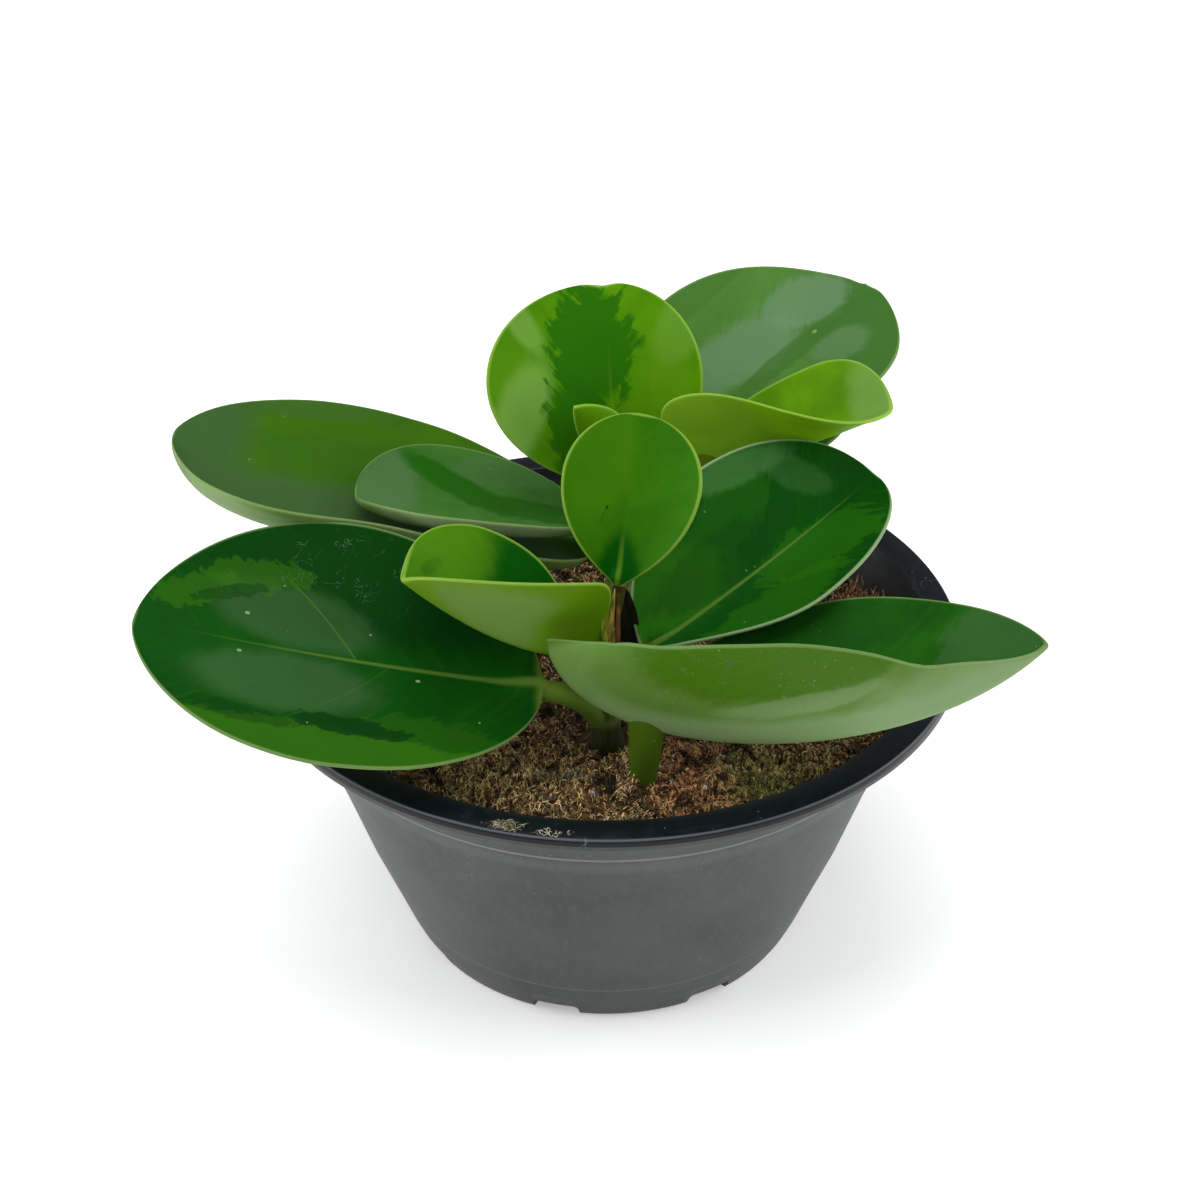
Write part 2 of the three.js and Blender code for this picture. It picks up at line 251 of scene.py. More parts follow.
# Point and direction of a bezier line at a share of its run
def bezier(points, share):
    line = [Vector(point) for point in points]
    while len(line) > 2:
        line = [a.lerp(b, share) for a, b in zip(line, line[1:])]
    return line[0].lerp(line[1], share), (line[1] - line[0]).normalized()


print("pot")
pot = {
    "wall": [(46.7, 0.8), (48.0, 3), (50.2, 8), (53.2, 16), (58.6, 30), (64.5, 48), (70.6, 65)],
    "collar": [(71.4, 65.6), (76.5, 78.7)], "thickness": 1.2, "foot": 44.6,
    "flange": [(81.7, 78.7), (81.7, 77.1), (82.5, 77.1), (82.5, 79.5), (82.0, 80), (75.3, 80)],
    "channel": [(22.7, 0), (24, 2.6), (37.9, 2.6), (39.2, 0)], "floor": 1.4,
    "floorSlope": 0.65, "floorRamp": 2.6, "turns": 160, "rounding": 0.28, "sharp": 24,
    "drains": 8, "firstDrain": -104, "holeRadius": 3.4, "holeRing": 31.6, "holeDepth": 14,
    "notch": (12, 11, 8.4), "notchRing": 48.1, "notchRounding": 1.2,
    # heights, or distances from the axis, over which one look turns into another
    "rimStart": (76.4, 77.2), "lipSide": (82.2, 82.35), "lipFoot": (78.2, 78.4),
    "lipTop": (79.5, 79.7), "rimHighlight": (81.9, 82.1), "innerStart": (64, 65),
    "innerWall": (0.389, 45.9),
    "rings": [  # height, half width, where it has faded, strength and colour
        (62.5, 0.4, 3, 0.2, "ring"), (66, 0.2, 0.5, 0.55, "light"),
        (12.4, 0.15, 0.5, 0.35, "ring"),
    ],
    "colours": {
        "body": (51, 53, 54), "cloud": (64, 66, 65), "streaks": (72, 74, 72), "dust": (92, 94, 89),
        "ring": (100, 102, 100), "light": (128, 129, 124), "foot": (40, 42, 43),
        # The light line along the rim's outer edge is a painted highlight.
        "rim": (5, 10, 19), "rimDust": (28, 37, 50), "rimHighlight": (82, 86, 96), "lip": (1, 1, 3),
        # inside is painted shade for the inner wall above the peat
        "inside": (18, 20, 23), "specks": (120, 122, 114), "scuffs": (120, 122, 120),
    },
}


def potProfile():
    outside = pot["wall"] + pot["collar"]
    inside = [(r - pot["thickness"], z) for r, z in reversed(outside[1:-1])]
    inner, outer = pot["channel"][1][0], pot["channel"][3][0]
    low, top = pot["floor"], pot["channel"][1][1] + pot["floor"]
    slope, ramp = pot["floorSlope"], pot["floorRamp"]
    floor = [(pot["foot"], low), (outer + slope, low), (outer - slope, top)]
    floor += [(inner - slope, top), (inner - ramp, low), (0, low)]
    return [(0, 0), *pot["channel"], (pot["foot"], 0), *outside, *pot["flange"], *inside, *floor]


def potMesh():
    bm = bmesh.new()
    corners = [bm.verts.new((r * mm, 0, z * mm)) for r, z in potProfile()]
    edges = [bm.edges.new(pair) for pair in zip(corners, corners[1:])]
    bmesh.ops.spin(
        bm, geom=corners + edges, axis=(0, 0, 1), angle=2 * pi, steps=pot["turns"],
        use_merge=True,
    )
    bmesh.ops.remove_doubles(bm, verts=bm.verts, dist=tiny)
    bmesh.ops.recalc_face_normals(bm, faces=bm.faces)
    sharp = radians(pot["sharp"])
    bent = [e for e in bm.edges if e.is_manifold and e.calc_face_angle() > sharp]
    bmesh.ops.bevel(
        bm, geom=bent, offset=pot["rounding"] * mm, segments=2, affect="EDGES", profile=0.5,
        material=-1, clamp_overlap=True,
    )
    return bm


def potCutters():
    bm = bmesh.new()
    for i in range(pot["drains"]):
        turn = radians(pot["firstDrain"] + 360 * i / pot["drains"])
        spot = Matrix.Rotation(turn, 4, "Z") @ Matrix.Translation((pot["notchRing"] * mm, 0, 0))
        size = Matrix.Diagonal([part * mm for part in pot["notch"]] + [1])
        made = bmesh.ops.create_cube(bm, size=1, matrix=spot @ size)
        above = [v for v in made["verts"] if v.co.z > 0]
        upper = [e for e in bm.edges if all(v in above for v in e.verts)]
        bmesh.ops.bevel(
            bm, geom=upper, offset=pot["notchRounding"] * mm, segments=3, affect="EDGES",
            profile=0.5, material=-1,
        )
        between = Matrix.Rotation(turn + pi / pot["drains"], 4, "Z")
        radius = pot["holeRadius"] * mm
        bmesh.ops.create_cone(
            bm, cap_ends=True, segments=28, radius1=radius, radius2=radius,
            depth=pot["holeDepth"] * mm,
            matrix=between @ Matrix.Translation((pot["holeRing"] * mm, 0, 0)),
        )
    return bm


def potFinish():
    material, shader, where = newFinish("potPlastic")
    look = tones(pot["colours"])
    height, spread = heightOf(where), lengthOf(stretched(where, 1, 1, 0))
    lipSide = ease(spread, *pot["lipSide"])
    onRim = ease(height, *pot["rimStart"]) * (1 - lipSide * fade(height, *pot["lipFoot"]))
    slope, start = pot["innerWall"]
    # painted shade: the inner wall above the peat is painted near black
    inside = ease(height, *pot["innerStart"]) * fade(spread - slope * height - start, -0.9, -0.5)
    cloudy = grain(where, 24, 3)
    dusty = grain(where, 4, 4, 0.65, 0.6)
    drawn = grain(stretched(where, 1, 1, 0.12), 1.6, 3)  # faint upright streaks from the mould
    fine = grain(where, 0.5, 2)
    body = mixed(ease(cloudy, 0.3, 0.7), look["body"], look["cloud"])
    body = mixed(ease(drawn, 0.45, 0.7) * 0.3, body, look["streaks"])
    body = mixed(ease(dusty, 0.56, 0.74) * 0.25, body, look["dust"])
    for middle, half, faded, strength, key in pot["rings"]:
        body = mixed(fade(abs(height - middle), half, faded) * strength, body, look[key])
    body = mixed(fade(height, 1, 7) * 0.3, body, look["foot"])
    rim = mixed(ease(dusty, 0.5, 0.7) * 0.3, look["rim"], look["rimDust"])
    # painted highlight along the rim's outer edge
    rim = mixed(ease(spread, *pot["rimHighlight"]) * 0.7, rim, look["rimHighlight"])
    # painted shadow: the flange's lip side is painted near black below its top edge
    rim = mixed(lipSide * fade(height, *pot["lipTop"]), rim, look["lip"])
    specks = fade(cells(where, 2.7), 0.06, 0.11) * ease(grain(where, 9), 0.5, 0.62)
    hairs = fade(abs(grain(where, 7, 1, 0.5, 0.8) - 0.5), 0.002, 0.006)
    scuffs = hairs * ease(grain(where, 13), 0.6, 0.66)
    colour = mixed(inside, mixed(onRim, body, rim), look["inside"])
    colour = mixed(specks * 0.5, colour, look["specks"])
    colour = mixed(scuffs * 0.3, colour, look["scuffs"])
    rough = 0.38 + 0.14 * dusty + 0.06 * cloudy - 0.14 * onRim
    bumps = fine * 0.3 + dusty * 0.5 + drawn * 0.2
    feed(shader, {
        "Base Color": colour, "Roughness": rough, "Normal": relief(bumps, 0.1, 0.5),
        "Specular IOR Level": 0.26,
    })
    return material


def cutAway(piece, bm):
    cutter = addObject("cutter", meshFrom("cutter", bm))
    cut = piece.modifiers.new("cut", "BOOLEAN")
    cut.operation, cut.object, cut.solver = "DIFFERENCE", cutter, "EXACT"
    ready = piece.evaluated_get(bpy.context.evaluated_depsgraph_get())
    made = bpy.data.meshes.new_from_object(ready)
    piece.modifiers.clear()
    piece.data = made
    bpy.data.objects.remove(cutter)


potPiece = finishPiece("pot_shell", potMesh(), potFinish(), "pot", sharpFrom=50)
cutAway(potPiece, potCutters())


print("soil")
soil = {
    "level": 70, "floor": 5.2, "gap": 0.5, "columns": 420, "rows": 150,
    "lumps": (1.3, 60, 72), "shift": (12, 18), "ripples": (0.9, 40), "bank": (3.2, 30, 66),
    "edgeDrop": (1.6, 55, 72), "mound": (8, 7.5, -52, 8), "clods": (3.0, 8), "crumbs": (2.2, 2.6),
    "slice": 3.7,  # which layer of the noise makes the clods and crumbs
    # where the side ends, its share of the rows, whose height's width the top has, and its tuck
    "side": 66, "sideRows": 0.2, "brim": 68, "tuck": (2, 68.5, 69.5),
    # painted shade in patches: size, levels and strength. Painted shade round the front stem:
    # spot, reach and strength.
    "shadePatches": (6.5, (0.52, 0.6), 0.86), "stemShadeSpot": ((2, -25, 72), (7, 27), 0.72),
    # the last two colours are painted shade
    "colours": {
        "dark": (44, 31, 21), "pale": (134, 104, 70), "moss": (88, 80, 44), "rust": (44, 28, 24),
        "strands": (150, 122, 86), "shadePatches": (20, 12, 8), "stemShade": (18, 11, 7),
    },
}


def wave(distance, length):
    return sin(2 * pi * distance / length)


def soilHeight(x, y):
    rise, long, wide = soil["lumps"]
    lumps = rise * wave(x + soil["shift"][0], long) * wave(y + soil["shift"][1], wide)
    ripples = soil["ripples"][0] * wave(x + y, soil["ripples"][1])
    bank = soil["bank"][0] * smooth(-y, *soil["bank"][1:])
    drop = soil["edgeDrop"][0] * smooth(hypot(x, y), *soil["edgeDrop"][1:])
    rise, midX, midY, wide = soil["mound"]
    mound = rise * exp(-(((x - midX) ** 2 + (y - midY) ** 2) / wide ** 2))
    height = soil["level"] + lumps + ripples + bank + mound - drop
    for rise, size in (soil["clods"], soil["crumbs"]):
        height += rise * noise.noise(Vector((x / size, y / size, soil["slice"])))
    return height


def wallRadius(z):
    innerRadius, top = pot["flange"][-1]
    line = pot["wall"] + [(innerRadius + pot["thickness"], top)]
    for (r0, z0), (r1, z1) in zip(line, line[1:]):
        if z <= z1:
            break
    return blend(r0, r1, (z - z0) / (z1 - z0)) - pot["thickness"] - soil["gap"]


def soilPoint(u, v):  # up the side with the first rows, then in over the top
    turn = 2 * pi * v
    if u < soil["sideRows"]:
        z = blend(soil["floor"], soil["side"], u / soil["sideRows"])
        radius = wallRadius(z) if u > 0 else 0
        return [(radius * cos(turn), radius * sin(turn), z)]
    radius = wallRadius(soil["brim"]) * (1 - (u - soil["sideRows"]) / (1 - soil["sideRows"]))
    x, y = radius * cos(turn), radius * sin(turn)
    deep, start, end = soil["tuck"]
    return [(x, y, soilHeight(x, y) - deep * smooth(radius, start, end))]


# Painted shade: the peat and its threads are painted darker in patches and round the front stem.
def paintShade(where, colour):  # darker in hollows and round the front stem
    size, levels, strength = soil["shadePatches"]
    shadePatch = ease(grain(where, size, 4, 0.7, 0.8), *levels) * strength
    spot, reach, strength = soil["stemShadeSpot"]
    near = where.node("ShaderNodeVectorMath", {"operation": "DISTANCE"}, {0: where, 1: spot}, 1)
    look = tones(soil["colours"])
    colour = mixed(shadePatch, colour, look["shadePatches"])
    return mixed(fade(near, *reach) * strength, colour, look["stemShade"])


def soilFinish():
    material, shader, where = newFinish("peat")
    look = tones(soil["colours"])
    big = grain(where, 12, 3, 0.6, 0.5)
    crumb = grain(where, 1.3, 4, 0.7, 0.8)
    strands = abs(grain(where, 1.9, 2, 0.5, 1.6) - 0.5)
    colour = mixed(ease(crumb, 0.3, 0.7), look["dark"], look["pale"])
    colour = mixed(ease(big, 0.5, 0.66) * 0.6, colour, look["moss"])
    colour = mixed(fade(big, 0.34, 0.44) * 0.5, colour, look["rust"])
    colour = mixed(fade(strands, 0.02, 0.06) * 0.6, colour, look["strands"])
    feed(shader, {
        # with painted shade laid over the peat's own colours
        "Base Color": paintShade(where, colour), "Roughness": 0.85 + 0.1 * crumb,
        "Normal": relief(crumb * 0.6 - strands * 2.2, 1.0), "Specular IOR Level": 0.2,
    })
    return material


bm = bmesh.new()
wrap(bm, soil["rows"], soil["columns"], soilPoint)
finishPiece("peat_body", bm, soilFinish(), "soil")


# Threads strewn over the peat, anywhere or round a spot: one poly line each, made a mesh together.
# A spread is a middle, a width and a depth.
strewing = {
    "field": 70, "margin": 1, "rimFrom": 76, "rimTo": 81.6, "rimEnd": 82, "rimLift": 0.1,
    "sink": 0.1, "steps": 4, "wobble": 0.5, "thinning": 0.7, "leanReach": 0.35, "pullIn": 0.985,
    "clump": 1.1, "levels": (0.4, 0.62),
}
litter = {
    "peat_threads_dark": {
        "seed": 3, "count": 3200, "length": (1.6, 5), "thick": (0.12, 0.24), "rise": (0, 1.3),
        "curl": 1.1, "colours": ((32, 21, 15), (92, 64, 44)),
    },
    "peat_threads_rust": {
        "seed": 5, "count": 4800, "length": (1.2, 4.4), "thick": (0.09, 0.18), "rise": (0.1, 1.5),
        "curl": 1.4, "colours": ((112, 70, 42), (250, 198, 140)),
    },
    "peat_threads_straw": {
        "seed": 8, "count": 2000, "length": (1.0, 4), "thick": (0.07, 0.14), "rise": (0.3, 1.8),
        "curl": 1.6, "colours": ((168, 146, 104), (226, 208, 168)),
    },
    "peat_threads_olive": {
        "seed": 9, "count": 4800, "length": (0.8, 3.4), "thick": (0.09, 0.18), "rise": (0.1, 1.5),
        "curl": 1.7, "colours": ((86, 74, 34), (226, 200, 120)),
    },
    "peat_grains": {
        "seed": 12, "count": 300, "length": (0.4, 1.2), "thick": (0.16, 0.36), "rise": (0.6, 1.8),
        "curl": 0.4, "colours": ((150, 146, 130), (214, 210, 196)),
    },
    "peat_mat": {
        "seed": 14, "count": 760, "length": (3, 9), "thick": (0.1, 0.18), "rise": (0.4, 2.0),
        "curl": 1.0, "colours": ((104, 66, 42), (226, 172, 120)), "spread": (19, -53, 10, 20),
    },
    "moss_olive": {
        "seed": 15, "count": 500, "length": (1, 3), "thick": (0.13, 0.25), "rise": (0.5, 2.4),
        "curl": 1.6, "colours": ((104, 98, 60), (214, 202, 126)), "spread": (33, -47, 14, 12),
    },
    "peat_olive_mat": {
        "seed": 13, "count": 700, "length": (1, 4), "thick": (0.09, 0.17), "rise": (0.4, 2.0),
        "curl": 1.6, "colours": ((108, 92, 52), (226, 202, 140)), "spread": (-25, -51, 22, 18),
    },
    "moss_green": {
        "seed": 16, "count": 460, "length": (0.8, 2.4), "thick": (0.1, 0.18), "rise": (1.0, 2.8),
        "curl": 1.8, "colours": ((98, 94, 46), (164, 154, 92)), "spread": (37, -54, 12, 7),
    },
    "lichen": {
        "seed": 17, "count": 80, "length": (0.6, 2), "thick": (0.12, 0.24), "rise": (1.0, 2.8),
        "curl": 1.8, "colours": ((126, 118, 84), (178, 170, 128)), "spread": (-11, -49, 9, 4),
    },
    "peat_stalks": {
        "seed": 18, "count": 130, "length": (3, 9), "thick": (0.16, 0.3), "rise": (3, 8),
        "curl": 0.5, "lean": 1, "colours": ((96, 68, 50), (176, 134, 100)),
        "spread": (64, 22, 16, 12),
    },
    "rim_tuft": {
        "seed": 21, "count": 60, "length": (1.2, 3.6), "thick": (0.09, 0.16), "rise": (0.2, 1.0),
        "curl": 1.5, "colours": ((104, 98, 76), (160, 154, 130)),
        "spread": (-22.6, -78.6, 4.2, 2.2), "onRim": True,
    },
    "rim_crumbs": {
        "seed": 22, "count": 24, "length": (0.8, 2.0), "thick": (0.1, 0.18), "rise": (0.1, 0.4),
        "curl": 1.2, "colours": ((130, 122, 100), (180, 174, 150)), "spread": (-12, -80.3, 4, 0.9),
        "onRim": True,
    },
}


def threadFinish(name, dark, light):
    material, shader, where = newFinish(name + "Finish")
    share = ease(grain(where, strewing["clump"], 2, 0.6), *strewing["levels"])
    # with painted shade laid over the thread colours
    colour = paintShade(where, mixed(share, tone(*dark), tone(*light)))
    feed(shader, {"Base Color": colour, "Roughness": 0.8, "Specular IOR Level": 0.2})
    return material


def strewn(draw, look):
    while True:
        if "spread" in look:
            x, y, wide, deep = look["spread"]
            spot = (draw.gauss(x, wide / 2), draw.gauss(y, deep / 2))
        else:
            field = strewing["field"]
            spot = (draw.uniform(-field, field), draw.uniform(-field, field))
        away = hypot(*spot)
        if "onRim" in look and strewing["rimFrom"] < away < strewing["rimTo"]:
            return spot
        if away < wallRadius(soil["level"]) - strewing["margin"]:
            return spot


def threads(name, look):
    draw = random.Random(look["seed"])
    onRim = "onRim" in look
    lean, steps, wobble = look.get("lean", 0), strewing["steps"], strewing["wobble"]
    rimTop = pot["flange"][-1][1] + strewing["rimLift"]
    end = strewing["rimEnd"] if onRim else wallRadius(soil["level"])
    line = bpy.data.curves.new(name, "CURVE")
    line.dimensions = "3D"
    line.bevel_depth = mm
    line.bevel_resolution = 0
    line.use_fill_caps = True
    for _ in range(look["count"]):
        x, y = strewn(draw, look)
        heading, length = draw.uniform(0, 2 * pi), draw.uniform(*look["length"])
        thick, rise = draw.uniform(*look["thick"]), draw.uniform(*look["rise"])
        turn = draw.uniform(-look["curl"], look["curl"])
        reach = length / steps * blend(1, strewing["leanReach"], lean)
        spline = line.splines.new("POLY")
        spline.points.add(steps)
        base = soilHeight(x, y)
        for i, point in enumerate(spline.points):
            share = i / steps
            ground = rimTop if onRim else blend(soilHeight(x, y), base, lean)
            high = ground + rise * blend(sin(pi * share), share, lean)
            point.co = (x * mm, y * mm, (high - strewing["sink"]) * mm, 1)
            point.radius = thick * (1 - strewing["thinning"] * (2 * share - 1) ** 2)
            heading += turn + draw.uniform(-wobble, wobble)
            x, y = x + reach * cos(heading), y + reach * sin(heading)
            if hypot(x, y) > end:
                x, y = x * strewing["pullIn"], y * strewing["pullIn"]
    shape = bpy.data.objects.new(name, line)
    mesh = bpy.data.meshes.new_from_object(shape)
    bpy.data.objects.remove(shape)
    mesh.name = name
    mesh.materials.clear()
    addPiece(name, mesh, threadFinish(name, *look["colours"]))


for name, look in litter.items():
    threads(name, look)


print("stems")
stems = {
    "main_stem": {
        "line": [(2, -33, 42), (1, -36, 62), (-1, -36, 84), (0, -38, 104)], "radius": 2.9,
        "joints": (79, 89, 98),
    },
    "back_stem": {
        "line": [(4, 14, 42), (4, 15, 62), (4, 12, 88), (3, 8, 112)], "radius": 3.2,
        "joints": (84, 95, 104),
    },
}
stemForm = {
    "rows": 90, "columns": 28, "swell": 0.7, "spread": 2.2, "groove": (0.22, 1.1, 0.35),
    "foot": (1.4, 70, 80), "taper": (0.35, 0.9), "ribs": (0.08, 1.6, 9), "flare": 0.5,
    "colours": {
        "dark": (58, 78, 14), "pale": (96, 120, 34), "swell": (132, 140, 62),
        "blotch": (88, 66, 34), "foot": (34, 28, 15),
    },
    # Below these heights the stems are painted darker in the foot colour: painted shade where they
    # go into the peat.
    "footShade": (74, 86), "soft": 1.5,
}


def stemPoint(stem, u, v):
    point, forward = bezier(stem["line"], u)
    deep, above, narrow = stemForm["groove"]
    swell = max(exp(-(((point.z - z) / stemForm["spread"]) ** 2)) for z in stem["joints"])
    groove = max(exp(-(((point.z - z - above) / narrow) ** 2)) for z in stem["joints"])
    radius = stem["radius"] + stemForm["swell"] * swell - deep * groove
    foot, low, high = stemForm["foot"]
    radius += foot * (1 - smooth(point.z, low, high))
    taper, start = stemForm["taper"]
    radius *= 1 - taper * smooth(u, start, 1)
    if u in (0, 1):
        radius = 0
    side = Vector((1, 0, 0)) - forward * forward.x
    side.normalize()
    turn = 2 * pi * v
    depth, fine, length = stemForm["ribs"]
    radius *= 1 + depth * noise.noise(Vector((cos(turn), sin(turn), point.z / length)) * fine)
    return point + radius * (side * cos(turn) + forward.cross(side) * sin(turn)), swell


def stemFinish():
    material, shader, where = newFinish("stemSkin")
    look = tones(stemForm["colours"])
    streaks = grain(stretched(where, 1, 1, 0.18), 0.8, 3, 0.6)
    swell = mark(where, "swell")
    blotch = grain(where, 3.2, 3, 0.6, 0.8)
    colour = mixed(ease(streaks, 0.35, 0.65), look["dark"], look["pale"])
    colour = mixed(ease(swell, 0.5, 1) * 0.5, colour, look["swell"])
    colour = mixed(ease(blotch, 0.58, 0.72) * 0.6, colour, look["blotch"])
    # painted shade: the stems darken towards the peat
    colour = mixed(fade(heightOf(where), *stemForm["footShade"]) * 0.85, colour, look["foot"])
    feed(shader, {
        "Base Color": colour, "Roughness": 0.42 + 0.2 * blotch,
        "Normal": relief(streaks, 0.25, 0.7), "Specular IOR Level": 0.35,
        "Subsurface Weight": 0.1, "Subsurface Scale": stemForm["soft"] * mm,
    })
    return material


# Dried leaf scales that hug the top of the front stem: line, half width and half thickness.
# The form that they share is how slim and blunt the lower end is, and how closely they hug.
scales = {
    "dry_strip_a": {
        "line": [(0.2, -42.6, 101), (-0.6, -44.2, 109), (0.6, -42.4, 117)],
        "wide": 0.8, "thick": 0.22, "colours": ((112, 120, 24), (168, 170, 56)),
    },
    "dry_strip_b": {
        "line": [(1.6, -42.8, 101), (0.8, -44, 109), (2.0, -42.2, 116.5)],
        "wide": 0.6, "thick": 0.2, "colours": ((104, 88, 26), (170, 150, 60)),
    },
    "dry_strip_c": {
        "line": [(2.8, -42.4, 101), (2.6, -43.4, 108), (2.8, -42, 115)],
        "wide": 0.5, "thick": 0.2, "colours": ((74, 44, 20), (136, 88, 44)),
    },
    "dry_sheath": {
        "line": [(5.2, -37.5, 98), (4.6, -38.5, 107), (3.4, -39.4, 115.5)],
        "wide": 2.6, "thick": 0.35, "colours": ((12, 9, 6), (36, 28, 17)),
    },
}
scaleForm = {"rows": 24, "columns": 16, "end": 0.16, "blunt": 0.6, "hug": 0.06}


def scalePoint(scale, u, v):
    point, forward = bezier(scale["line"], u)
    right = forward.cross(Vector((0, 1, 0))).normalized()
    taper = sin(pi * blend(scaleForm["end"], 1, u)) ** scaleForm["blunt"] if 0 < u < 1 else 0
    turn = 2 * pi * v
    wide, thick = scale["wide"] * taper * cos(turn), scale["thick"] * taper * sin(turn)
    out = thick - scaleForm["hug"] * wide * wide
    return [point + right * wide + right.cross(forward) * out]


def scaleFinish(name, dark, light):
    material, shader, where = newFinish(name + "Finish")
    streaks = grain(stretched(where, 1, 1, 0.15), 0.7, 3, 0.6)
    colour = mixed(ease(streaks, 0.35, 0.65), tone(*dark), tone(*light))
    feed(shader, {
        "Base Color": colour, "Roughness": 0.6 + 0.2 * streaks, "Normal": relief(streaks, 0.2),
        "Specular IOR Level": 0.25,
    })
    return material


for name, scale in scales.items():
    bm = bmesh.new()
    wrap(bm, scaleForm["rows"], scaleForm["columns"], lambda u, v: scalePoint(scale, u, v))
    finishPiece(name, bm, scaleFinish(name, *scale["colours"]))


stemSkin = stemFinish()
for name, stem in stems.items():
    bm = bmesh.new()
    wrap(bm, stemForm["rows"], stemForm["columns"], lambda u, v: stemPoint(stem, u, v), ["swell"])
    finishPiece(name + "_skin", bm, stemSkin, name)


print("leaves")
usualLeaf = {  # what a leaf has where it says nothing else
    "stalk": 2.1, "seat": 0, "roll": (0, 0), "cup": 8, "point": 0.55, "blunt": 0.5, "lobe": 0,
    "cleft": 0, "dents": [],
}
leaves = {
    "leaf_front_left": {
        "tone": "old_leaf", "from": (0, -36, 76), "stalk": 2.4,
        "rib": [(-14, -42, 90), (-56, -45, 99), (-101, -44, 109)], "half": (31, 32),
        "roll": (24, 24), "fold": (13, 8), "cup": 10, "widest": 0.52, "blunt": (0.64, 0.55),
    },
    "leaf_back_left": {
        "tone": "old_leaf", "from": (4, 13, 83),
        "rib": [(-4, 12, 92), (-54, 15, 108), (-100, 17, 121)], "half": (46, 29.5), "roll": (2, 9),
        "fold": (2, 0), "cup": (84, 10), "widest": (0.6, 0.42), "blunt": (0.6, 0.64),
        "dents": [(-1, 0.42, 0.24, 0.19)],
    },
    "leaf_mid_left": {
        "tone": "old_leaf", "from": (4, 11, 95),
        "rib": [(-3, 8, 102.5), (-33, 3, 109.5), (-57, 0, 114.5)], "half": (21.5, 22),
        "roll": (2, 2), "fold": (4, 4), "cup": (84, 20), "widest": 0.54,
    },
    "leaf_young_left": {
        "tone": "young_leaf", "from": (-1, -36, 84), "seat": 0.1,
        "rib": [(-3.4, -42, 98.5), (-22, -44.5, 103.8), (-43.5, -47, 121)], "half": (22.5, 22.4),
        "roll": (-10, -16), "fold": (72, 38), "widest": (0.3, 0.76), "point": (0.44, 0.7),
        "blunt": (0.46, 0.27), "lobe": (10, 0),
    },
    "leaf_young_centre": {
        "tone": "young_leaf", "from": (0, -38, 103), "stalk": 1.4,
        "rib": [(3, -39.4, 115.6), (5, -32, 132), (8, -23, 148)], "half": (15, 16.8),
        "fold": (14, 6), "cup": 14, "widest": 0.6, "point": 0.85,
    },
    "leaf_right": {
        "tone": "old_leaf", "from": (0, -36.5, 91.5),
        "rib": [(8.8, -42.3, 99.4), (36.5, -19.5, 108.5), (61, 2, 118.3)], "half": (26.4, 19),
        "roll": (-21, -21), "fold": (24, 20), "cup": (8, 12), "widest": 0.48,
        "point": (0.68, 1.45), "lobe": (4.5, 0),
    },
    "leaf_front_right": {
        "tone": "old_leaf", "from": (6, -46.5, 46), "seat": 0.33, "stalk": 2.5,
        "rib": [(-13, -50, 108.6), (-10.6, -56.5, 80.1), (62.9, -63, 78.7), (91.7, -63, 115.2)],
        "half": (34, 38.8), "roll": (18, 20), "fold": (49, 41), "widest": (0.67, 0.58),
        "point": (2.5, 0.66), "blunt": (0.62, 1.25), "lobe": (0, 6.5),
        "dents": [(1, 0.84, 0.045, 0.14), (1, 0.29, 0.15, 0.062), (1, 0, 0.07, -0.5)],
    },
    "leaf_back_round": {
        "tone": "young_leaf", "from": (3, 10, 104),
        "rib": [(2, 12.5, 110), (1, 18.7, 131.9), (-1, 31.7, 152.4)], "half": (30, 21.5),
        "fold": (12, 8), "cup": 14, "widest": 0.55, "point": (0.78, 0.6), "cleft": 0.7,
    },
    "leaf_back_right": {
        "tone": "old_leaf", "from": (4, 13, 88),
        "rib": [(22, 27, 114), (41, 40, 129), (63, 54, 142)], "half": (30, 30.5),
        "roll": (-20, -20), "fold": (10, 8), "widest": (0.45, 0.5), "point": (0.24, 0.55),
        "blunt": (1.2, 0.5), "lobe": (28, 4), "cleft": 1.2, "dents": [(1, 0.62, 0.2, 0.15)],
    },
    "leaf_young_right": {
        "tone": "young_leaf", "from": (3, 9, 100), "seat": 0.14,
        "rib": [(17.5, 10.2, 117.7), (41, 9.4, 120.6), (65, 6, 134)], "half": (18.4, 22),
        "roll": (22, -14), "fold": (60, 30), "widest": (0.7, 0.46), "point": (0.8, 0.36),
        "blunt": (0.33, 0.52), "lobe": (0, 16),
    },
    "leaf_bud": {
        "tone": "young_leaf", "from": (3, 7.5, 111), "stalk": 1.7,
        "rib": [(1, 5.8, 116.5), (-1, 3.8, 126.6), (-7, 0.8, 136.4)], "half": (7.5, 5),
        "roll": (-70, -70), "fold": (30, 10), "cup": 12, "widest": 0.42, "point": 0.8,
        "blunt": 0.8,
    },
}
leafForm = {
    "stalkRows": 16, "bladeRows": 60, "columns": 20,  # columns are for a quarter of the way round
    "inner": 0.8, "innerPower": 1.35,  # columns past this share crowd towards the margin
    "thickness": 1.3, "margin": 0.8, "rounded": 0.3, "curlSteps": 8, "soften": (1.0, 4.5),
    "groove": (0.22, 0.9), "grooveStart": (0.05, 0.2), "ripple": 0.3, "rippleSize": 15,
    "cleftWidth": 3, "cleftStart": 0.8,
    # how the stalk runs out below and above the blade, and where it turns flat
    "keelRun": 0.5, "keelPower": 1.6, "topRun": 0.12, "ridge": 1.8,
    "flatten": (0.8, 3), "knobs": (0.05, 3),
    # a stalk that ends under the blade
    "seatedRows": 40, "seatedColumns": 32, "seatSpread": 1.25, "seatStart": 0.72,
    "offBlade": 9, "stalkRun": 20,  # what a stalk says of its inset and its run, for the colours
}


def ofSide(value, side):  # one side's value of a setting that may be a pair
    return value[side > 0] if isinstance(value, tuple) else value


